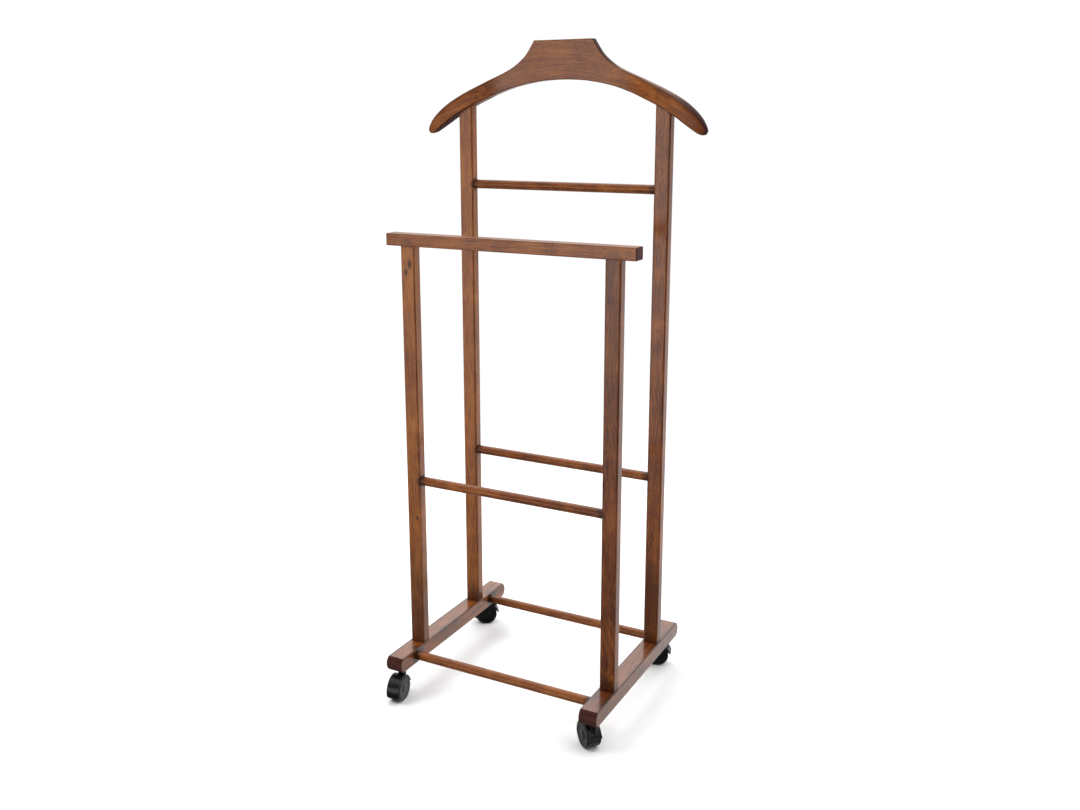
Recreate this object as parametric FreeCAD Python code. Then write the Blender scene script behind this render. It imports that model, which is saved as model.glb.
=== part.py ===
"""Valet stand on four twin-wheel casters.

A turned-and-sawn beech frame: two foot rails, four posts, a trouser bar on
the front posts, a contoured jacket hanger on the back posts, three dowels
between the posts and two between the rails.  Millimetres, +Z up, the floor
is Z = 0, -Y is the front (the trouser bar's side) and +X is the right-hand
side of somebody who faces the front.
"""
import FreeCAD, Part
import math
import os

V = FreeCAD.Vector

# ---------------------------------------------------------------- dimensions
# Y is worked out from the plane half-way between the two rows of posts and
# then moved by y_origin, so that the origin is the middle of the footprint.
y_origin = 4.2

# foot rails
rail_x = 177.0            # centreline of each rail and of the posts on it
rail_w = 30.0
rail_h = 25.0
rail_z0 = 50.5            # underside
rail_len = 334.0          # between the top corners of the rounded ends
rail_yc = 3.0
rail_nose = 7.0           # how far each rounded end bulges
rail_edge = 1.6           # softened long edges

# posts
post_w = 25.5             # along X
post_d = 18.0             # along Y
post_y = 90.5             # the two rows are at -post_y and +post_y
post_edge = 3.0
front_post_top = 752.5
back_post_rough_top = 976.0

# trouser bar
bar_len = 429.0
bar_d = 24.5
bar_h = 19.5
bar_edge = 1.8

# dowels
dowel_r = 7.5
dowel_in = 10.0           # how deep each end sits in its socket
glue_gap = 0.1            # radial, round every glued dowel
upper_back_z = 840.0
middle_back_z = 368.0
middle_front_z = 363.5
base_dowel_y = (-121.0, 125.0)
rail_mid_z = rail_z0 + rail_h / 2.0

# joining pieces
pin_r = 4.0
pin_gap = 0.05
screw_r = 2.4
screw_head_r = 4.4
screw_len = 62.0
screw_recess = 5.0

# casters
wheel_r = 20.0
caster_half_w = 12.0      # over the wheels' outer faces
trail = 14.3              # from the swivel axis to the axle
stem_r = 3.95
socket_bore_r = 4.0
socket_r = 5.5
socket_len = 20.0
flange_r = 9.0
flange_t = 1.5
hood_ro = 22.7
hood_ri = 20.9
hood_half_w = 10.8
core_ri = 17.4            # the hood's inner drum, between the wheels' rims
core_ro = 19.6
core_half_w = 7.4
rim_in = 8.0              # inner edge of a wheel's rim, from the middle
web_half = 2.2
boss_r = 6.6              # swivel boss on top of the hood
boss_top = 48.6
axle_r = 2.0
axle_half = 9.2
wheel_bore_r = 2.06
stem_front_y = -147.5
stem_back_y = 158.0
# heading of each caster: where the axle lies from the swivel axis, in
# degrees from the front (-Y) towards +X
heading = {
    "front_left": 8.0,
    "front_right": -129.0,
    "back_left": -56.0,
    "back_right": -73.0,
}

parts = {}


def cyl(r, length, base, direction):
    return Part.makeCylinder(r, length, V(*base), V(*direction))


def vertical_edges(shape):
    out = []
    for e in shape.Edges:
        a, b = e.Vertexes[0].Point, e.Vertexes[-1].Point
        if abs(a.x - b.x) < 1e-6 and abs(a.y - b.y) < 1e-6 and abs(a.z - b.z) > 1.0:
            out.append(e)
    return out


# -------------------------------------------------------------------- hanger
# Matching points of the top and the underside, from the middle to one tip, and
# where the front and back faces lie there:
# (x top, z top, x under, z under, y front, y back, upper front corner radius,
#  radius of the two corners at the back).
plateau_z = 1071.0
plateau_over = 0.2        # sawn off, so that the plateau is a true plane
hanger_low_r = 1.5        # lower front corner, nearly sharp
hanger_arm = [
    (52.0, plateau_z + plateau_over, 50.0, 1006.0, 91.0, 105.5, 1.8, 2.0),
    (56.0, 1064.6, 55.0, 1005.2, 91.0, 105.5, 1.8, 2.0),
    (61.0, 1057.0, 60.5, 1004.4, 91.0, 105.5, 1.8, 2.0),
    (67.0, 1048.9, 67.0, 1003.2, 90.9, 105.4, 1.8, 2.0),
    (76.0, 1040.5, 75.0, 1001.5, 90.8, 105.2, 1.8, 2.1),
    (89.0, 1031.0, 86.0, 999.0, 90.4, 104.8, 1.8, 2.3),
    (103.0, 1023.6, 98.0, 995.6, 89.6, 104.3, 1.9, 2.6),
    (120.0, 1016.3, 112.0, 990.9, 88.0, 103.8, 2.6, 3.0),
    (135.0, 1010.1, 126.0, 985.8, 85.6, 103.5, 3.8, 3.4),
    (151.0, 1003.1, 141.0, 979.4, 82.4, 103.3, 5.4, 3.8),
    (167.0, 996.1, 156.0, 973.0, 79.4, 103.2, 6.9, 4.2),
    (182.0, 988.9, 171.0, 966.0, 77.0, 102.7, 8.0, 4.6),
    (197.0, 981.1, 186.0, 957.8, 75.2, 101.6, 8.6, 5.0),
    (211.0, 972.6, 200.0, 949.4, 74.0, 99.9, 8.8, 5.4),
    (223.0, 963.8, 212.6, 940.8, 73.4, 97.6, 8.6, 5.6),
    (232.5, 955.4, 223.2, 933.6, 73.5, 95.4, 8.0, 5.6),
    (239.8, 947.4, 231.6, 928.0, 74.2, 93.0, 7.0, 5.2),
    (244.6, 940.6, 238.2, 924.6, 75.6, 90.4, 5.6, 4.6),
    (247.8, 934.9, 243.2, 923.8, 77.6, 87.6, 3.7, 3.4),
    (249.4, 930.4, 246.6, 924.9, 79.6, 85.2, 1.9, 1.8),
]


def hanger_section(xt, zt, xb, zb, y_front, y_back, r_top, r_back, side):
    """A rounded rectangle through a top and an underside point."""
    top, low = V(side * xt, 0, zt), V(side * xb, 0, zb)
    mid = (top + low) * 0.5
    up = (top - low)
    h = up.Length / 2.0
    up.normalize()
    d = (y_back - y_front) / 2.0
    ey = V(0, 1, 0)
    c = V(mid.x, (y_front + y_back) / 2.0, mid.z)
    k = math.sqrt(0.5)
    most = min(h, d) * 0.92

    def p(a, b):
        return c + ey * a + up * b

    # corners in order: front-low, front-top, back-top, back-low
    r_low = max(hanger_low_r, 0.32 * r_top)
    corners = [(-1, -1, r_low), (-1, 1, r_top), (1, 1, r_back), (1, -1, r_back)]
    starts, ends, mids = [], [], []
    for i, (sa, sb, r) in enumerate(corners):
        r = min(r, most)
        ca, cb = sa * (d - r), sb * (h - r)
        a_pt = p(ca + sa * r, cb)
        b_pt = p(ca, cb + sb * r)
        m_pt = p(ca + sa * r * k, cb + sb * r * k)
        if i in (0, 2):          # arrive along the bottom/top, leave along the side
            starts.append(b_pt)
            ends.append(a_pt)
        else:
            starts.append(a_pt)
            ends.append(b_pt)
        mids.append(m_pt)
    edges = []
    for i in range(4):
        edges.append(Part.Arc(starts[i], mids[i], ends[i]).toShape())
        edges.append(Part.LineSegment(ends[i], starts[(i + 1) % 4]).toShape())
    return Part.Wire(edges)


def hanger_half(side):
    wires = [hanger_section(*row, side) for row in hanger_arm]
    return Part.makeLoft(wires, True, False)


mid_rows = [(52.0, 50.0, 1006.0), (35.0, 33.6, 1007.9), (17.0, 16.4, 1009.0)]
mid_rest = (91.0, 105.5, 1.8, 2.0)
mid_top = plateau_z + plateau_over
wires = [hanger_section(xt, mid_top, xb, zb, *mid_rest, -1) for xt, xb, zb in mid_rows]
wires += [hanger_section(0.0, mid_top, 0.0, 1009.4, *mid_rest, 1)]
wires += [hanger_section(xt, mid_top, xb, zb, *mid_rest, 1) for xt, xb, zb in reversed(mid_rows)]
hanger = Part.makeLoft(wires, True, False).fuse([hanger_half(-1), hanger_half(1)])
hanger = hanger.removeSplitter()
hanger = hanger.cut(Part.makeBox(160.0, 40.0, 10.0, V(-80.0, 80.0, plateau_z)))

# pins between the back posts and the hanger
hanger_pin_y = post_y + 1.5
hanger_pin_z = (942.0, 984.0)
hanger_pins = []
for sx in (-1, 1):
    base = (sx * rail_x, hanger_pin_y, hanger_pin_z[0])
    hanger_pins.append(cyl(pin_r, hanger_pin_z[1] - hanger_pin_z[0], base, (0, 0, 1)))
hanger_body_for_posts = hanger.copy()
for sx in (-1, 1):
    hanger = hanger.cut(cyl(pin_r + pin_gap, 60.0, (sx * rail_x, hanger_pin_y, hanger_pin_z[1] + 0.5), (0, 0, -1)))
parts["jacket_hanger"] = hanger
parts["hanger_pins"] = Part.makeCompound(hanger_pins)

# --------------------------------------------------------------------- rails
stem_y = {"front": stem_front_y, "back": stem_back_y}
rail_top = rail_z0 + rail_h
for side, sx in (("left", -1), ("right", 1)):
    y0, y1 = rail_yc - rail_len / 2.0, rail_yc + rail_len / 2.0
    x0 = sx * rail_x - rail_w / 2.0
    zm = rail_mid_z
    a, b = V(x0, y0, rail_top), V(x0, y1, rail_top)
    c, d = V(x0, y1, rail_z0), V(x0, y0, rail_z0)
    wire = Part.Wire([
        Part.LineSegment(a, b).toShape(),
        Part.Arc(b, V(x0, y1 + rail_nose, zm), c).toShape(),
        Part.LineSegment(c, d).toShape(),
        Part.Arc(d, V(x0, y0 - rail_nose, zm), a).toShape(),
    ])
    rail = Part.Face(wire).extrude(V(rail_w, 0, 0))
    # soften the edges of both sides, which run right round each end
    rim = []
    for e in rail.Edges:
        xs = [v.Point.x for v in e.Vertexes]
        if max(xs) - min(xs) < 1e-6:
            rim.append(e)
    rail = rail.makeFillet(rail_edge, rim)
    for by in base_dowel_y:
        rail = rail.cut(cyl(dowel_r + glue_gap, dowel_in + 0.5,
                            (sx * (rail_x - rail_w / 2.0), by, rail_mid_z), (sx, 0, 0)))
    for end in ("front", "back"):
        base = (sx * rail_x, stem_y[end], rail_z0)
        rail = rail.cut(cyl(socket_r + 0.05, socket_len + 1.0, base, (0, 0, 1)))
        yy = -post_y if end == "front" else post_y
        foot = (sx * rail_x, yy, rail_z0)
        rail = rail.cut(cyl(screw_head_r + 0.6, screw_recess, foot, (0, 0, 1)))
        rail = rail.cut(cyl(screw_r + 0.1, rail_h, foot, (0, 0, 1)))
    parts[side + "_foot_rail"] = rail

# --------------------------------------------------------------------- posts
screws = []
for end, yy in (("front", -post_y), ("back", post_y)):
    for side, sx in (("left", -1), ("right", 1)):
        top = front_post_top if end == "front" else back_post_rough_top
        post = Part.makeBox(post_w, post_d, top - rail_top,
                            V(sx * rail_x - post_w / 2.0, yy - post_d / 2.0, rail_top))
        post = post.makeFillet(post_edge, vertical_edges(post))
        inner = sx * (rail_x - post_w / 2.0)
        levels = [middle_front_z] if end == "front" else [middle_back_z, upper_back_z]
        for z in levels:
            post = post.cut(cyl(dowel_r + glue_gap, dowel_in + 0.5, (inner, yy, z), (sx, 0, 0)))
        z_tip = rail_z0 + screw_recess - 3.0 + screw_len
        post = post.cut(cyl(screw_r + 0.05, z_tip + 1.0 - rail_top, (sx * rail_x, yy, rail_top), (0, 0, 1)))
        if end == "front":
            post = post.cut(cyl(pin_r + pin_gap, 20.5, (sx * rail_x, yy, front_post_top), (0, 0, -1)))
        else:
            post = post.cut(hanger_body_for_posts)
            post = sorted(post.Solids, key=lambda s: -s.Volume)[0]
            post = post.cut(cyl(pin_r + pin_gap, 60.0, (sx * rail_x, hanger_pin_y, hanger_pin_z[0] - 0.5), (0, 0, 1)))
            post = sorted(post.Solids, key=lambda s: -s.Volume)[0]
        parts["%s_%s_post" % (end, side)] = post
        # a countersunk wood screw from under the rail
        z0 = rail_z0 + screw_recess - 3.0
        head = Part.makeCone(screw_head_r, screw_r, 3.0, V(sx * rail_x, yy, z0), V(0, 0, 1))
        drive = cyl(1.6, 1.4, (sx * rail_x, yy, z0), (0, 0, 1))
        shank = cyl(screw_r, screw_len - 6.0, (sx * rail_x, yy, z0 + 2.0), (0, 0, 1))
        tip = Part.makeCone(screw_r, 0.4, 4.0, V(sx * rail_x, yy, z0 + screw_len - 4.0), V(0, 0, 1))
        screws.append(head.fuse([shank, tip]).cut(drive).removeSplitter())
parts["post_screws"] = Part.makeCompound(screws)

# --------------------------------------------------------------- trouser bar
bar = Part.makeBox(bar_len, bar_d, bar_h, V(-bar_len / 2.0, -post_y - bar_d / 2.0, front_post_top))
bar = bar.makeFillet(bar_edge, bar.Edges)
pins = []
for sx in (-1, 1):
    bar = bar.cut(cyl(pin_r + pin_gap, 14.0, (sx * rail_x, -post_y, front_post_top), (0, 0, 1)))
    pins.append(cyl(pin_r, 33.0, (sx * rail_x, -post_y, front_post_top - 19.6), (0, 0, 1)))
parts["trouser_bar"] = bar
parts["trouser_bar_pins"] = Part.makeCompound(pins)

# -------------------------------------------------------------------- dowels
post_span = 2.0 * (rail_x - post_w / 2.0 + dowel_in)
rail_span = 2.0 * (rail_x - rail_w / 2.0 + dowel_in)


def dowel(length, y, z):
    d = cyl(dowel_r, length, (-length / 2.0, y, z), (1, 0, 0))
    ends = [e for e in d.Edges if e.Vertexes[0].Point.x == e.Vertexes[-1].Point.x]
    return d.makeChamfer(0.8, ends)


parts["upper_back_dowel"] = dowel(post_span, post_y, upper_back_z)
parts["middle_back_dowel"] = dowel(post_span, post_y, middle_back_z)
parts["middle_front_dowel"] = dowel(post_span, -post_y, middle_front_z)
parts["front_base_dowel"] = dowel(rail_span, base_dowel_y[0], rail_mid_z)
parts["rear_base_dowel"] = dowel(rail_span, base_dowel_y[1], rail_mid_z)

# ------------------------------------------------------------------- casters
# Made once about the swivel axis, with the axle towards local +X.
hub_z = wheel_r


def band(r_in, r_out, half_w, a0, a1):
    """Part of a cylindrical shell about the axle, between two angles from
    local +X (the trailing side), turning up over the wheels."""
    def q(r, a):
        return V(trail + r * math.cos(math.radians(a)), -half_w, hub_z + r * math.sin(math.radians(a)))
    am = (a0 + a1) / 2.0
    w = Part.Wire([
        Part.Arc(q(r_out, a0), q(r_out, am), q(r_out, a1)).toShape(),
        Part.LineSegment(q(r_out, a1), q(r_in, a1)).toShape(),
        Part.Arc(q(r_in, a1), q(r_in, am), q(r_in, a0)).toShape(),
        Part.LineSegment(q(r_in, a0), q(r_out, a0)).toShape(),
    ])
    return Part.Face(w).extrude(V(0, 2.0 * half_w, 0))


hood_low = -24.0          # trailing edge of the hood, below the axle
hood_lip = 172.0          # the visor's edge on the swivel's side
core_end = 204.0          # the drum goes on below the visor


def make_hood():
    def q(r, a):
        return V(trail + r * math.cos(math.radians(a)), -hood_half_w, hub_z + r * math.sin(math.radians(a)))

    shell = band(hood_ri, hood_ro, hood_half_w, hood_low, hood_lip - 4.0)
    # flared visor lip
    lip_pts = [q(hood_ro - 0.15, 146.0), q(hood_ro + 0.5, 158.0), q(hood_ro + 1.9, hood_lip),
               q(hood_ro + 1.2, hood_lip + 3.0), q(hood_ro - 0.6, hood_lip - 1.0),
               q(hood_ri + 0.3, hood_lip - 8.0), q(hood_ri + 0.3, 146.0)]
    lip = Part.Face(Part.Wire([
        Part.LineSegment(lip_pts[i], lip_pts[(i + 1) % len(lip_pts)]).toShape()
        for i in range(len(lip_pts))])).extrude(V(0, 2.0 * hood_half_w, 0))
    core = band(core_ri, hood_ri + 0.6, core_half_w, hood_low, hood_lip - 4.0)
    core_low = band(core_ri, core_ro, core_half_w, hood_lip - 6.0, core_end)
    # the web between the wheels carries the axle and the swivel boss
    web = cyl(core_ri + 0.6, 2.0 * web_half, (trail, -web_half, hub_z), (0, 1, 0))
    web = web.common(Part.makeBox(80.0, 20.0, 60.0, V(trail - 40.0, -10.0, hub_z - 9.0)))
    boss = cyl(boss_r, boss_top - 27.0, (0, 0, 27.0), (0, 0, 1))
    hood = shell.fuse([lip, core, core_low, web, boss]).removeSplitter()
    hood = hood.cut(cyl(stem_r + 0.03, 30.0, (0, 0, 34.0), (0, 0, 1)))
    hood = hood.cut(cyl(axle_r + 0.02, 20.0, (trail, -10.0, hub_z), (0, 1, 0)))
    return hood


def make_wheel(s):
    """One wheel: a hollow cap with a narrow rim, a closed outer face with a
    shallow dish, and a hub with a blind bore for the axle."""
    w = caster_half_w
    plate = w - 2.4
    pts = [
        (wheel_bore_r, web_half + 0.6),
        (4.7, web_half + 0.6),
        (5.2, plate),
        (17.0, plate),
        (17.3, rim_in),
        (19.3, rim_in),
        (wheel_r, rim_in + 0.8),
        (wheel_r, w - 1.5),
        (wheel_r - 0.45, w - 0.45),
        (wheel_r - 1.5, w),
        (17.4, w),
        (16.7, w - 0.6),
        (7.6, w - 0.7),
        (6.9, w - 0.1),
        (5.6, w + 0.25),
        (3.0, w + 0.45),
        (0.0, w + 0.5),
        (0.0, w - 2.0),
        (wheel_bore_r, w - 2.0),
    ]
    vs = [V(r, y, 0) for r, y in pts]
    edges = []
    for i in range(len(vs)):
        edges.append(Part.LineSegment(vs[i], vs[(i + 1) % len(vs)]).toShape())
    face = Part.Face(Part.Wire(edges))
    wheel = face.revolve(V(0, 0, 0), V(0, 1, 0), 360.0)
    if wheel.Volume < 0:
        wheel.reverse()
    # three small moulding dimples in the outer face
    for k in range(3):
        a = math.radians(40.0 + 120.0 * k)
        wheel = wheel.cut(cyl(0.9, 3.0, (14.2 * math.cos(a), w - 1.2, 14.2 * math.sin(a)), (0, 1, 0)))
    if s < 0:
        wheel.rotate(V(0, 0, 0), V(0, 0, 1), 180.0)
    wheel.translate(V(trail, 0, hub_z))
    return wheel


hood0 = make_hood()
stem0 = cyl(stem_r, socket_len + rail_z0 - 35.0 - 1.5, (0, 0, 35.0), (0, 0, 1))
top_edge = [e for e in stem0.Edges if abs(e.BoundBox.ZMin - stem0.BoundBox.ZMax) < 1e-6]
stem0 = stem0.makeChamfer(0.8, top_edge)
axle0 = cyl(axle_r, 2.0 * axle_half, (trail, -axle_half, hub_z), (0, 1, 0))
axle0 = axle0.makeChamfer(0.3, [e for e in axle0.Edges if abs(e.BoundBox.YMax - e.BoundBox.YMin) < 1e-6])
socket0 = cyl(socket_r, socket_len, (0, 0, rail_z0), (0, 0, 1)).fuse(
    cyl(flange_r, flange_t, (0, 0, rail_z0 - flange_t), (0, 0, 1)))
socket0 = socket0.cut(cyl(socket_bore_r, socket_len + flange_t - 1.0, (0, 0, rail_z0 - flange_t), (0, 0, 1)))
socket0 = socket0.removeSplitter()
wheel_l = make_wheel(1)
wheel_r_shape = make_wheel(-1)

for end in ("front", "back"):
    for side, sx in (("left", -1), ("right", 1)):
        name = "%s_%s" % (end, side)
        pos = V(sx * rail_x, stem_y[end], 0)
        # local +X must point along (sin h, -cos h)
        turn = heading[name] - 90.0
        for label, shape, turned in (
                ("caster_socket", socket0, False), ("caster_stem", stem0, True),
                ("caster_hood", hood0, True), ("caster_axle", axle0, True),
                ("wheel_a", wheel_l, True), ("wheel_b", wheel_r_shape, True)):
            s = shape.copy()
            if turned:
                s.rotate(V(0, 0, 0), V(0, 0, 1), turn)
            s.translate(pos)
            parts["%s_%s" % (name, label)] = s

# -------------------------------------------------------------------- output
os.makedirs("parts", exist_ok=True)
lo = [1e9] * 3
hi = [-1e9] * 3
for name, shape in parts.items():
    shape.translate(V(0, y_origin, 0))
    shape.exportStep("parts/%s.step" % name)
    bb = shape.BoundBox
    lo = [min(lo[0], bb.XMin), min(lo[1], bb.YMin), min(lo[2], bb.ZMin)]
    hi = [max(hi[0], bb.XMax), max(hi[1], bb.YMax), max(hi[2], bb.ZMax)]
    ok = shape.isValid() and all(s.isValid() and s.isClosed() for s in shape.Solids)
    print("%-28s solids %d  valid %s  volume %.0f" % (name, len(shape.Solids), ok, shape.Volume))
print("box", [round(v, 2) for v in lo], [round(v, 2) for v in hi])
print("middle of the box in Y:", round((lo[1] + hi[1]) / 2.0, 3))
for end in ("front", "back"):
    for side, sx in (("left", -1), ("right", 1)):
        h = math.radians(heading["%s_%s" % (end, side)])
        x, y = sx * rail_x, stem_y[end] + y_origin
        print("joint %s_%s swivel %.3f %.3f axle %.3f %.3f %.3f direction %.6f %.6f" % (
            end, side, x, y, x + trail * math.sin(h), y - trail * math.cos(h), hub_z,
            math.cos(h), math.sin(h)))
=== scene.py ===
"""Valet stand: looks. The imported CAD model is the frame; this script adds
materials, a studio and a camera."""
import math
import random

import bpy
import mathutils
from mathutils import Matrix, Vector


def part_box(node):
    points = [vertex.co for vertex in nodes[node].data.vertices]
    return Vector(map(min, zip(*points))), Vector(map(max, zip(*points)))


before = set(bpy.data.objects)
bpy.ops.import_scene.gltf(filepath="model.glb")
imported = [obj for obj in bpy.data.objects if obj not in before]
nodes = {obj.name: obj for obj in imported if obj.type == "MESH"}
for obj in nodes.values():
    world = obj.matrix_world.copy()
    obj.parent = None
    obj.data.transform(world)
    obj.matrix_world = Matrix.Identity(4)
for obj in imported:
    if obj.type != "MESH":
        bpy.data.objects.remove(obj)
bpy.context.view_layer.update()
scene = bpy.context.scene
rng = random.Random(7)

# studio light, as radiance: behind, in front, the soft light and overhead
BACK, FRONT, SOFT, OVER = 1.10, 0.04, 2.6, 1.2
KEY = 31.0


# ------------------------------------------------------------- node helpers
class Tree:
    """A short hand for building one material's node tree."""

    def __init__(self, name):
        self.mat = bpy.data.materials.new(name)
        self.mat.use_nodes = True
        self.t = self.mat.node_tree
        self.t.nodes.clear()
        self.out = self.t.nodes.new("ShaderNodeOutputMaterial")
        self.bsdf = self.t.nodes.new("ShaderNodeBsdfPrincipled")
        self.link(self.bsdf.outputs[0], self.out.inputs["Surface"])

    def link(self, a, b):
        self.t.links.new(a, b)

    def put(self, value, socket):
        if isinstance(value, bpy.types.NodeSocket):
            self.link(value, socket)
        else:
            socket.default_value = value

    def node(self, kind, **props):
        n = self.t.nodes.new(kind)
        for k, v in props.items():
            setattr(n, k, v)
        return n

    def math(self, op, a, b=0.0, c=0.0, clamp=False):
        n = self.node("ShaderNodeMath", operation=op, use_clamp=clamp)
        self.put(a, n.inputs[0])
        self.put(b, n.inputs[1])
        if op == "MULTIPLY_ADD":
            self.put(c, n.inputs[2])
        return n.outputs[0]

    def vmath(self, op, a, b=(0, 0, 0), scale=None):
        n = self.node("ShaderNodeVectorMath", operation=op)
        self.put(a, n.inputs[0])
        if op != "SCALE":
            self.put(b, n.inputs[1])
        if scale is not None:
            n.inputs["Scale"].default_value = scale
        return n.outputs["Value"] if op in ("LENGTH", "DOT_PRODUCT", "DISTANCE") else n.outputs["Vector"]

    def separate(self, v):
        n = self.node("ShaderNodeSeparateXYZ")
        self.put(v, n.inputs[0])
        return n.outputs[0], n.outputs[1], n.outputs[2]

    def combine(self, x, y, z):
        n = self.node("ShaderNodeCombineXYZ")
        self.put(x, n.inputs[0])
        self.put(y, n.inputs[1])
        self.put(z, n.inputs[2])
        return n.outputs[0]

    def ramp(self, fac, stops, interp="LINEAR"):
        n = self.node("ShaderNodeValToRGB")
        cr = n.color_ramp
        cr.interpolation = interp
        while len(cr.elements) > 1:
            cr.elements.remove(cr.elements[-1])
        cr.elements[0].position = stops[0][0]
        cr.elements[0].color = stops[0][1]
        for p, c in stops[1:]:
            e = cr.elements.new(p)
            e.color = c
        self.put(fac, n.inputs[0])
        return n.outputs[0]

    def smooth(self, v, a, b, lo=0.0, hi=1.0):
        n = self.node("ShaderNodeMapRange", interpolation_type="SMOOTHSTEP")
        self.put(v, n.inputs["Value"])
        n.inputs["From Min"].default_value = a
        n.inputs["From Max"].default_value = b
        n.inputs["To Min"].default_value = lo
        n.inputs["To Max"].default_value = hi
        return n.outputs[0]

    def noise(self, vec, scale, detail=3.0, rough=0.55, dist=0.0):
        n = self.node("ShaderNodeTexNoise", noise_dimensions="3D")
        self.put(vec, n.inputs["Vector"])
        n.inputs["Scale"].default_value = scale
        n.inputs["Detail"].default_value = detail
        n.inputs["Roughness"].default_value = rough
        n.inputs["Distortion"].default_value = dist
        return n.outputs[0]

    def mix(self, fac, a, b, mode="MIX"):
        n = self.node("ShaderNodeMix", data_type="RGBA", blend_type=mode)
        self.put(fac, n.inputs[0])
        self.put(a, n.inputs[6])
        self.put(b, n.inputs[7])
        return n.outputs[2]

    def position(self):
        return self.node("ShaderNodeTexCoord").outputs["Object"]

    def normal(self):
        return self.node("ShaderNodeTexCoord").outputs["Normal"]

    def bump(self, height, strength, distance, normal=None):
        n = self.node("ShaderNodeBump")
        n.inputs["Strength"].default_value = strength
        n.inputs["Distance"].default_value = distance
        self.put(height, n.inputs["Height"])
        if normal is not None:
            self.put(normal, n.inputs["Normal"])
        return n.outputs[0]


def srgb(r, g, b):
    def f(c):
        c /= 255.0
        return c / 12.92 if c <= 0.04045 else ((c + 0.055) / 1.055) ** 2.4
    return (f(r), f(g), f(b), 1.0)


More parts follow.
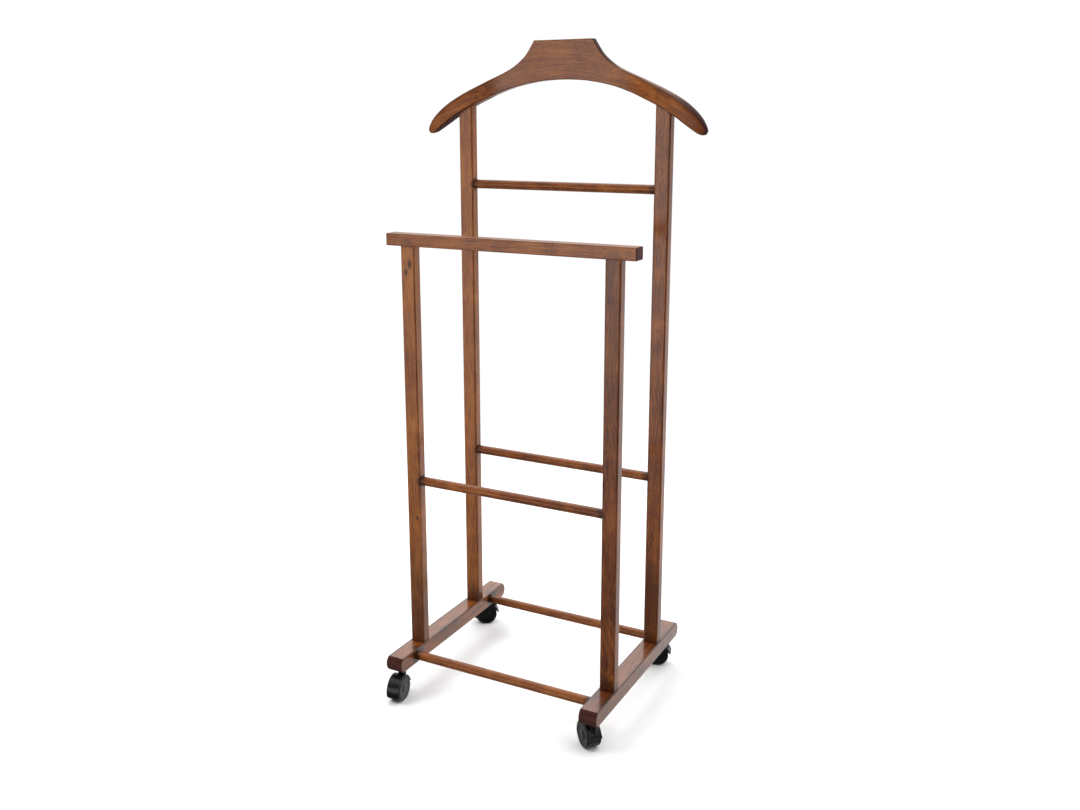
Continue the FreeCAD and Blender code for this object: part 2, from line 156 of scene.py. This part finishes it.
# --------------------------------------------------------------------- wood
def wood(name, along, centre, tone=0.0, joint_stain_and_shade=(), arms=None, curve=0.0, fleck=1.0, edge=0.30, gloss=0.60,
         pith=(0.030, 0.045), figure=1.0, warm=0.5, wave=0.0, ring=0.0034, knots=(), dark_patches_and_shade=()):
    """Walnut-stained beech under satin lacquer. along is the grain's axis
    (0 X, 1 Y, 2 Z), centre a point on the piece's middle line in metres.
    joint_stain_and_shade lists (point, axis or None, inner radius, outer radius, strength):
    joints stained darker, with painted shade where the parts meet. knots lists (point, radius),
    dark_patches_and_shade (point, radius, strength): darker patches, some of them painted contact shade."""
    m = Tree(name)
    pos = m.position()
    rel = m.vmath("SUBTRACT", pos, tuple(centre))
    comps = list(m.separate(rel))
    g = comps[along]
    a, b = [comps[i] for i in range(3) if i != along]
    if curve:
        b = m.math("ADD", b, m.math("MULTIPLY", m.math("MULTIPLY", g, g), curve))
    seed = rng.uniform(0.0, 50.0)
    gs = m.math("ADD", g, seed)
    p_long = m.combine(m.math("MULTIPLY", gs, 0.055), a, b)
    p_mid = m.combine(m.math("MULTIPLY", gs, 0.18), a, b)
    p_full = m.combine(gs, a, b)
    # growth rings round a pith that lies off to one side of the board
    warp_n = m.math("MULTIPLY_ADD", m.noise(p_mid, 26.0, 2.0, 0.5), 0.022, -0.011)
    wander = m.math("MULTIPLY_ADD", m.noise(m.combine(gs, 0.0, 0.0), 4.3, 2.0, 0.5), 0.085, -0.0425)
    ca = m.math("ADD", m.math("ADD", a, pith[0] * rng.choice((-1, 1))), warp_n)
    cb = m.math("ADD", m.math("ADD", b, pith[1] * rng.choice((-1, 1))), wander)
    if wave:
        cb = m.math("ADD", cb, m.math("MULTIPLY", m.math("SINE", m.math("MULTIPLY", gs, 95.0)), wave))
    radius = m.math("SQRT", m.math("ADD", m.math("MULTIPLY", ca, ca), m.math("MULTIPLY", cb, cb)))
    for kp, kr in knots:
        # the rings part round a knot
        kd = m.vmath("MULTIPLY", m.vmath("SUBTRACT", pos, tuple(kp)), tuple(0.35 if i == along else 1.0 for i in range(3)))
        near = m.smooth(m.vmath("LENGTH", kd), kr * 0.4, kr * 2.6, 1.0, 0.0)
        radius = m.math("ADD", radius, m.math("MULTIPLY", near, kr * 0.9))
    rings = m.math("FRACT", m.math("MULTIPLY", radius, 1.0 / ring))
    late = m.math("POWER", rings, 4.0)
    ringstr = m.smooth(m.noise(p_mid, 34.0, 2.0, 0.5), 0.34, 0.66)
    fine = m.noise(p_long, 1900.0, 2.0, 0.6)
    streak = m.noise(p_long, 430.0, 3.0, 0.6)
    blot = m.noise(p_full, 24.0, 4.0, 0.62, 0.6)
    board = m.noise(p_long, 95.0, 2.0, 0.5)
    cloud = m.noise(p_full, 7.0, 2.0, 0.5)
    # ray flecks: short dark dashes along the grain
    vo = m.node("ShaderNodeTexVoronoi", feature="F1", distance="EUCLIDEAN")
    m.put(m.combine(m.math("MULTIPLY", gs, 0.20), a, b), vo.inputs["Vector"])
    vo.inputs["Scale"].default_value = 760.0
    vo.inputs["Randomness"].default_value = 1.0
    dash = m.smooth(vo.outputs["Distance"], 0.16, 0.38, 1.0, 0.0)
    dash = m.math("MULTIPLY", dash, m.smooth(m.noise(p_full, 150.0, 2.0, 0.5), 0.42, 0.60))
    # long open pores, darker still and sparse
    vp = m.node("ShaderNodeTexVoronoi", feature="F1", distance="EUCLIDEAN")
    m.put(m.combine(m.math("MULTIPLY", gs, 0.05), a, b), vp.inputs["Vector"])
    vp.inputs["Scale"].default_value = 330.0
    pore_l = m.smooth(vp.outputs["Distance"], 0.07, 0.20, 1.0, 0.0)

    value = m.math("MULTIPLY_ADD", streak, 0.62, tone - 0.24)
    value = m.math("ADD", value, m.math("MULTIPLY", fine, 0.22))
    value = m.math("ADD", value, m.math("MULTIPLY", blot, 0.50))
    value = m.math("ADD", value, m.math("MULTIPLY", board, 0.26))
    value = m.math("ADD", value, m.math("MULTIPLY_ADD", cloud, 0.46, -0.23))
    value = m.math("SUBTRACT", value, m.math("MULTIPLY", m.math("MULTIPLY", late, ringstr), 0.19 * figure))
    value = m.math("SUBTRACT", value, m.math("MULTIPLY", dash, 0.17 * fleck))
    value = m.math("SUBTRACT", value, m.math("MULTIPLY", pore_l, 0.10 * fleck))
    colour = m.ramp(value, [
        (0.14, srgb(48, 20, 7)),
        (0.34, srgb(82, 38, 12)),
        (0.52, srgb(112, 58, 19)),
        (0.70, srgb(138, 79, 29)),
        (0.92, srgb(163, 102, 48)),
    ])
    # the stain turns golden where it is thin and redder where it is thick
    hue = m.smooth(m.noise(p_full, 12.0, 2.0, 0.5), 0.35, 0.65)
    colour = m.mix(m.math("MULTIPLY", hue, warm), colour, m.mix(1.0, colour, (1.04, 1.04, 0.80, 1.0), "MULTIPLY"))

    # end grain drinks stain: dark, with ring lines and open pores
    nrm = m.normal()
    ncomp = m.separate(nrm)[along]
    facing = m.math("ABSOLUTE", ncomp)
    end = m.smooth(facing, 0.30, 0.62)
    pore = m.node("ShaderNodeTexVoronoi", feature="F1")
    m.put(m.combine(0.0, a, b), pore.inputs["Vector"])
    pore.inputs["Scale"].default_value = 900.0
    pores = m.smooth(pore.outputs["Distance"], 0.15, 0.40, 1.0, 0.0)
    endval = m.math("MULTIPLY_ADD", m.noise(m.combine(m.math("MULTIPLY", gs, 0.2), a, b), 300.0, 3.0, 0.65), 0.9, 0.06)
    endval = m.math("SUBTRACT", endval, m.math("MULTIPLY", late, 0.26))
    endval = m.math("SUBTRACT", endval, m.math("MULTIPLY", pores, 0.24))
    endcol = m.ramp(endval, [(0.05, srgb(32, 11, 9)), (0.45, srgb(64, 27, 21)), (0.85, srgb(104, 56, 46))])
    colour = m.mix(end, colour, endcol)

    # darker along rounded edges
    nx, ny, nz = m.separate(nrm)
    top = m.math("MAXIMUM", m.math("MAXIMUM", m.math("ABSOLUTE", nx), m.math("ABSOLUTE", ny)), m.math("ABSOLUTE", nz))
    round_edge = m.smooth(top, 0.80, 0.985, 1.0, 0.0)
    edge_break = m.smooth(m.noise(p_full, 70.0, 3.0, 0.6), 0.22, 0.52, 0.45, 1.0)
    shade = m.math("MULTIPLY", m.math("MULTIPLY", round_edge, edge_break), edge)
    for kp, kr in knots:
        kd = m.vmath("MULTIPLY", m.vmath("SUBTRACT", pos, tuple(kp)), tuple(0.55 if i == along else 1.0 for i in range(3)))
        kl = m.math("ADD", m.vmath("LENGTH", kd), m.math("MULTIPLY_ADD", fine, 0.0016, -0.0008))
        shade = m.math("MAXIMUM", shade, m.smooth(kl, kr * 0.35, kr, 0.88, 0.0))
    # darker patches, among them painted contact shade at each post's foot and under the bar
    for point, r1, strength in dark_patches_and_shade:
        kd = m.vmath("MULTIPLY", m.vmath("SUBTRACT", pos, tuple(point)), tuple(0.5 if i == along else 1.0 for i in range(3)))
        kl = m.math("ADD", m.vmath("LENGTH", kd), m.math("MULTIPLY_ADD", blot, 0.030, -0.015))
        shade = m.math("MAXIMUM", shade, m.smooth(kl, r1 * 0.55, r1, strength, 0.0))
    # joints stained darker, and painted shade where the parts meet
    for point, axis, r0, r1, strength in joint_stain_and_shade:
        d = m.vmath("SUBTRACT", pos, tuple(point))
        if axis is not None:
            d = m.vmath("MULTIPLY", d, tuple(0.0 if i == axis else 1.0 for i in range(3)))
        dist = m.math("ADD", m.vmath("LENGTH", d), m.math("MULTIPLY_ADD", blot, 0.006, -0.003))
        shade = m.math("MAXIMUM", shade, m.smooth(dist, r0, r1, strength, 0.0))
    colour = m.mix(shade, colour, srgb(40, 15, 8))

    bs = m.bsdf
    m.put(colour, bs.inputs["Base Color"])
    rough = m.math("MULTIPLY_ADD", fine, 0.14, 0.33)
    rough = m.math("ADD", rough, m.math("MULTIPLY", dash, 0.10))
    rough = m.math("ADD", rough, m.math("MULTIPLY", end, 0.25))
    rough = m.math("ADD", rough, m.math("MULTIPLY", round_edge, 0.15))
    m.put(rough, bs.inputs["Roughness"])
    bs.inputs["Specular IOR Level"].default_value = 0.22
    bs.inputs["IOR"].default_value = 1.5
    coat = m.math("MULTIPLY", m.math("SUBTRACT", 1.0, m.math("MULTIPLY", end, 0.9)), m.math("SUBTRACT", 1.0, m.math("MULTIPLY", round_edge, edge)))
    if arms:
        # less coat on the arms, so they reflect less: painted shade for the dimmer reflections the arms' tilt gives
        away = m.smooth(m.math("ABSOLUTE", g), arms[0], arms[1])
        coat = m.math("MULTIPLY", coat, m.math("SUBTRACT", 1.0, m.math("MULTIPLY", away, 0.80)))
    m.put(m.math("MULTIPLY", coat, gloss), bs.inputs["Coat Weight"])
    bs.inputs["Coat Roughness"].default_value = 0.16
    bs.inputs["Coat IOR"].default_value = 1.5
    height = m.math("ADD", m.math("MULTIPLY", fine, 0.5), m.math("MULTIPLY", streak, 0.5))
    height = m.math("SUBTRACT", height, m.math("MULTIPLY", dash, 0.6))
    height = m.math("SUBTRACT", height, m.math("MULTIPLY", pore_l, 0.6))
    height = m.math("SUBTRACT", height, m.math("MULTIPLY", m.math("MULTIPLY", pores, end), 1.2))
    bumped = m.bump(height, 0.40, 0.00015)
    m.put(bumped, bs.inputs["Normal"])
    m.put(m.bump(height, 0.18, 0.00012), bs.inputs["Coat Normal"])
    return m.mat


def raw_beech(name):
    m = Tree(name)
    pos = m.position()
    x, y, z = m.separate(pos)
    v = m.noise(m.combine(x, y, m.math("MULTIPLY", z, 0.06)), 900.0, 3.0, 0.6)
    m.put(m.ramp(v, [(0.3, srgb(176, 136, 92)), (0.7, srgb(212, 176, 130))]), m.bsdf.inputs["Base Color"])
    m.put(m.math("MULTIPLY_ADD", v, 0.2, 0.55), m.bsdf.inputs["Roughness"])
    m.put(m.bump(v, 0.3, 0.0002), m.bsdf.inputs["Normal"])
    return m.mat


def plastic(name, base, rough=0.36, grain=1.0):
    """Moulded nylon with a fine spark-eroded texture and a few scuffs."""
    m = Tree(name)
    pos = m.position()
    tex = m.noise(pos, 2600.0, 3.0, 0.6)
    cloud = m.noise(pos, 70.0, 3.0, 0.55)
    scuff_a = m.noise(m.vmath("MULTIPLY", pos, (1.0, 1.0, 5.0)), 160.0, 4.0, 0.7)
    scuff = m.smooth(scuff_a, 0.60, 0.74)
    c0 = srgb(*[max(0, c - 5) for c in base])
    c1 = srgb(*[c + 7 for c in base])
    col = m.ramp(cloud, [(0.35, c0), (0.65, c1)])
    col = m.mix(m.math("MULTIPLY", scuff, 0.35), col, srgb(*[c + 26 for c in base]))
    m.put(col, m.bsdf.inputs["Base Color"])
    r = m.math("MULTIPLY_ADD", cloud, 0.12, rough - 0.06)
    r = m.math("ADD", r, m.math("MULTIPLY", scuff, 0.12))
    m.put(r, m.bsdf.inputs["Roughness"])
    m.bsdf.inputs["IOR"].default_value = 1.53
    m.bsdf.inputs["Specular IOR Level"].default_value = 0.32
    m.put(m.bump(tex, 0.25 * grain, 0.00006), m.bsdf.inputs["Normal"])
    return m.mat


def steel(name, base=(176, 176, 180)):
    m = Tree(name)
    pos = m.position()
    x, y, z = m.separate(pos)
    turn = m.noise(m.combine(m.math("MULTIPLY", x, 0.1), m.math("MULTIPLY", y, 0.1), z), 3000.0, 2.0, 0.6)
    cloud = m.noise(pos, 120.0, 3.0, 0.6)
    m.put(m.ramp(cloud, [(0.3, srgb(*[c - 18 for c in base])), (0.7, srgb(*base))]), m.bsdf.inputs["Base Color"])
    m.bsdf.inputs["Metallic"].default_value = 1.0
    m.put(m.math("MULTIPLY_ADD", turn, 0.22, 0.22), m.bsdf.inputs["Roughness"])
    m.put(m.bump(turn, 0.2, 0.00003), m.bsdf.inputs["Normal"])
    return m.mat


def mid(name):
    lo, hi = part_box(name)
    return [(lo[i] + hi[i]) / 2.0 for i in range(3)]


def assign(name, mat):
    o = nodes[name]
    o.data.materials.clear()
    o.data.materials.append(mat)
    for poly in o.data.polygons:
        poly.material_index = 0


def smooth_shade(o, angle=32.0):
    me = o.data
    if me.has_custom_normals:
        with bpy.context.temp_override(object=o, active_object=o, selected_objects=[o]):
            bpy.ops.mesh.customdata_custom_splitnormals_clear()
    for poly in me.polygons:
        poly.use_smooth = True
    me.set_sharp_from_angle(angle=math.radians(angle))


# ----------------------------------------------------------- the wood pieces
def rail_stain_and_shade(side):
    """Stain and painted shade where each dowel enters a rail, and painted contact shade round each post's foot."""
    lo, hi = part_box(side + "_foot_rail")
    inner = hi[0] if side == "left" else lo[0]
    stain_and_shade_spots = []
    # stain and painted shade round each dowel's entry
    for dn in ("front_base_dowel", "rear_base_dowel"):
        dc = mid(dn)
        stain_and_shade_spots.append(((inner, dc[1], dc[2]), None, 0.0105, 0.0215, 0.88))
    for end in ("front", "back"):
        plo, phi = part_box("%s_%s_post" % (end, side))
        pc = mid("%s_%s_post" % (end, side))
        # painted contact shade on the rail round the post's foot
        stain_and_shade_spots.append(((pc[0], plo[1] - 0.001, plo[2]), 0, 0.0012, 0.0050, 0.70))
        stain_and_shade_spots.append(((phi[0] + 0.0005, pc[1], plo[2]), 1, 0.0010, 0.0038, 0.60))
        stain_and_shade_spots.append(((plo[0] - 0.0005, pc[1], plo[2]), 1, 0.0010, 0.0038, 0.60))
    return stain_and_shade_spots


look = {
    "front_left": dict(tone=0.10, figure=0.8, warm=0.75),
    "front_right": dict(tone=-0.07, figure=1.3, warm=0.35, ring=0.0042),
    "back_left": dict(tone=0.09, figure=0.7, warm=0.9),
    "back_right": dict(tone=-0.03, figure=1.2, warm=0.5, wave=0.004, ring=0.0046),
}
for end in ("front", "back"):
    for side in ("left", "right"):
        key = "%s_%s" % (end, side)
        name = key + "_post"
        lo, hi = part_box(name)
        c = mid(name)
        inner = hi[0] if side == "left" else lo[0]
        stain_and_shade_spots = []
        # dowel joints on the post stained darker, with painted shade where each dowel meets it
        for dn in (["middle_front_dowel"] if end == "front" else ["middle_back_dowel", "upper_back_dowel"]):
            dc = mid(dn)
            stain_and_shade_spots.append(((inner, dc[1], dc[2]), None, 0.0080, 0.0125, 0.80))
        # painted contact shade at the foot and under the bar or hanger, and darker patches low on two posts
        extra = dict(look[key])
        patches_and_shade = [((c[0], c[1], lo[2] - 0.006), 0.022, 0.55)]
        if key == "front_left":
            patches_and_shade.append(((c[0] - 0.004, lo[1], 0.135), 0.062, 0.42))
            extra["knots"] = [((c[0] + 0.004, lo[1], hi[2] - 0.028), 0.0052),
                              ((c[0] - 0.003, lo[1], hi[2] - 0.041), 0.0038),
                              ((c[0] + 0.006, lo[1], 0.30), 0.0030)]
        if key == "back_right":
            patches_and_shade.append(((c[0] - 0.006, lo[1], 0.150), 0.050, 0.38))
            extra["knots"] = [((c[0] + 0.001, lo[1], 0.905), 0.0018)]
        if key == "front_right":
            patches_and_shade.append(((c[0] - 0.004, lo[1], hi[2] - 0.004), 0.020, 0.45))
        assign(name, wood("wood_" + name, 2, c, joint_stain_and_shade=stain_and_shade_spots, dark_patches_and_shade=patches_and_shade, **extra))
for side in ("left", "right"):
    name = side + "_foot_rail"
    assign(name, wood("wood_" + name, 1, mid(name), tone=-0.03 if side == "left" else -0.06, joint_stain_and_shade=rail_stain_and_shade(side), edge=0.35, gloss=0.8, warm=0.7))
# stain and painted shade on the bar where it sits on each front post
bar_stain_and_shade = []
for side in ("left", "right"):
    pc = mid("front_%s_post" % side)
    blo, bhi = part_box("trouser_bar")
    bar_stain_and_shade.append(((pc[0], blo[1], blo[2]), 1, 0.0100, 0.0170, 0.35))
assign("trouser_bar", wood("wood_trouser_bar", 0, mid("trouser_bar"), tone=0.09, edge=0.45, fleck=1.3, warm=0.3, joint_stain_and_shade=bar_stain_and_shade))
assign("jacket_hanger", wood("wood_jacket_hanger", 0, mid("jacket_hanger"), tone=0.0, curve=1.2, pith=(0.05, 0.09),
                             edge=0.70, figure=0.7, warm=0.5, fleck=0.8, arms=(0.108, 0.140)))
for name in ("upper_back_dowel", "middle_back_dowel", "middle_front_dowel", "front_base_dowel", "rear_base_dowel"):
    lo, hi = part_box(name)
    c = mid(name)
    # stain and painted shade at both ends, where the dowel meets its posts or rails
    stain_and_shade_spots = [((lo[0] + 0.0095, c[1], c[2]), None, 0.0080, 0.0150, 0.75), ((hi[0] - 0.0095, c[1], c[2]), None, 0.0080, 0.0150, 0.75)]
    base = "base" in name
    assign(name, wood("wood_" + name, 0, c, tone=0.02 if base else -0.03, joint_stain_and_shade=stain_and_shade_spots, fleck=1.6 if base else 0.9,
                      pith=(0.012, 0.02), edge=0.0, gloss=0.35, figure=0.6, warm=0.9))
raw = raw_beech("raw_beech")
assign("hanger_pins", raw)
assign("trouser_bar_pins", raw)
zinc = steel("zinc_steel")
assign("post_screws", zinc)
hood_m = plastic("hood_nylon", (19, 19, 21), 0.28)
wheel_m = plastic("wheel_nylon", (22, 22, 24), 0.34)
sock_m = plastic("socket_nylon", (26, 26, 27), 0.5)
for c in ("front_left", "front_right", "back_left", "back_right"):
    assign(c + "_caster_socket", sock_m)
    assign(c + "_caster_stem", zinc)
    assign(c + "_caster_hood", hood_m)
    assign(c + "_caster_axle", zinc)
    assign(c + "_wheel_a", wheel_m)
    assign(c + "_wheel_b", wheel_m)
for o in nodes.values():
    smooth_shade(o)

# --------------------------------------------------------------------- stage
me = bpy.data.meshes.new("floor")
ring_n, radii = 96, [0.0, 0.4, 0.8, 1.4, 2.4, 4.0, 8.0, 16.0]
verts, faces = [(0.0, 0.0, 0.0)], []
for r in radii[1:]:
    verts += [(r * math.cos(2 * math.pi * i / ring_n), r * math.sin(2 * math.pi * i / ring_n), 0.0) for i in range(ring_n)]
for i in range(ring_n):
    j = (i + 1) % ring_n
    faces.append((0, 1 + i, 1 + j))
    for k in range(len(radii) - 2):
        p, q = 1 + k * ring_n, 1 + (k + 1) * ring_n
        faces.append((p + i, q + i, q + j, p + j))
me.from_pydata(verts, [], faces)
floor = bpy.data.objects.new("floor", me)
scene.collection.objects.link(floor)
fm = Tree("floor_paper")
fm.bsdf.inputs["Roughness"].default_value = 0.85
fm.bsdf.inputs["Specular IOR Level"].default_value = 0.0
fx, fy, fz = fm.separate(fm.position())
fm.put(fm.ramp(fm.noise(fm.position(), 40.0, 2.0), [(0.3, (0.835, 0.835, 0.840, 1)), (0.7, (0.850, 0.850, 0.855, 1))]), fm.bsdf.inputs["Base Color"])
glow = fm.node("ShaderNodeEmission")
glow.inputs[0].default_value = (1, 1, 1, 1)
glow.inputs[1].default_value = 1.02
away = fm.smooth(fm.vmath("LENGTH", fm.combine(fx, fy, 0.0)), 0.75, 2.3)
mixer = fm.node("ShaderNodeMixShader")
fm.link(away, mixer.inputs[0])
fm.link(fm.bsdf.outputs[0], mixer.inputs[1])
fm.link(glow.outputs[0], mixer.inputs[2])
fm.link(mixer.outputs[0], fm.out.inputs["Surface"])
floor.data.materials.append(fm.mat)
floor.visible_glossy = False

# A white studio: bright behind, a large soft light at the front left, a soft
# light overhead and darker surroundings where the photographer stands.
world = bpy.data.worlds.new("studio")
scene.world = world
world.use_nodes = True
wt = world.node_tree
wt.nodes.clear()


class Sky(Tree):
    def __init__(self, t):
        self.t = t


w = Sky(wt)
direction = w.vmath("NORMALIZE", w.node("ShaderNodeTexCoord").outputs["Generated"])
dx, dy, dz = w.separate(direction)
behind = w.smooth(w.math("ADD", dy, w.math("MULTIPLY", dx, 0.10)), -0.30, 0.30)
# behind: the sweep of paper, dimmer by its top edge and near the floor's
# shadow, under a bright ceiling bank
back = w.smooth(dz, -0.58, -0.40, 0.40, 1.0)
back = w.math("MULTIPLY", back, w.smooth(dz, -0.30, 0.05, 1.0, 0.50))
back = w.math("ADD", back, w.smooth(dz, 0.22, 0.48, 0.0, 1.25))
level = w.math("MULTIPLY_ADD", w.math("MULTIPLY", behind, back), BACK - FRONT, FRONT)
flat = w.math("SQRT", w.math("ADD", w.math("MULTIPLY", dx, dx), w.math("MULTIPLY", dy, dy)))
left = w.math("DIVIDE", w.math("MULTIPLY", dx, -1.0), flat)
soft = w.math("MULTIPLY", w.smooth(left, 0.08, 0.29), w.smooth(left, 0.27, 0.86, 1.0, 0.1))
soft = w.math("MULTIPLY", soft, w.smooth(dy, -0.15, -0.40))
soft = w.math("MULTIPLY", soft, w.smooth(dz, -0.43, -0.10))
soft = w.math("MULTIPLY", soft, w.smooth(dz, 0.08, 0.34, 1.0, 0.0))
level = w.math("ADD", level, w.math("MULTIPLY", soft, SOFT))
over = w.smooth(dz, 0.50, 0.90)
level = w.math("ADD", level, w.math("MULTIPLY", over, OVER))
seen = w.node("ShaderNodeLightPath").outputs["Is Camera Ray"]
level = w.math("ADD", w.math("MULTIPLY", level, w.math("SUBTRACT", 1.0, seen)), w.math("MULTIPLY", seen, 1.02))
bgn = w.node("ShaderNodeBackground")
bgn.inputs[0].default_value = (1, 1, 1, 1)
w.link(level, bgn.inputs[1])
won = w.node("ShaderNodeOutputWorld")
w.link(bgn.outputs[0], won.inputs[0])


def area(name, loc, target, size, size_y, power, colour=(1, 1, 1)):
    d = bpy.data.lights.new(name, "AREA")
    d.shape = "RECTANGLE"
    d.size, d.size_y = size, size_y
    d.energy = power
    d.color = colour
    o = bpy.data.objects.new(name, d)
    scene.collection.objects.link(o)
    o.location = loc
    v = mathutils.Vector(target) - mathutils.Vector(loc)
    o.rotation_mode = "QUATERNION"
    o.rotation_quaternion = v.to_track_quat("-Z", "Y")
    return o


key = area("key", (-1.5, -1.3, 2.3), (0.0, 0.0, 0.2), 0.9, 0.9, KEY)
key.visible_glossy = False

# -------------------------------------------------------------------- camera
cam_d = bpy.data.cameras.new("camera")
cam = bpy.data.objects.new("camera", cam_d)
scene.collection.objects.link(cam)
scene.camera = cam
yaw, pitch = 0.4830, 0.2245
cam.location = (0.7904, -1.4889, 0.9502)
cam.rotation_euler = (math.pi / 2 - pitch, 0.0, yaw)
cam_d.sensor_width = 36.0
cam_d.lens = 35.708
cam_d.shift_y = -0.0398
cam_d.clip_start, cam_d.clip_end = 0.05, 60.0

scene.view_settings.view_transform = "Standard"
scene.view_settings.look = "None"
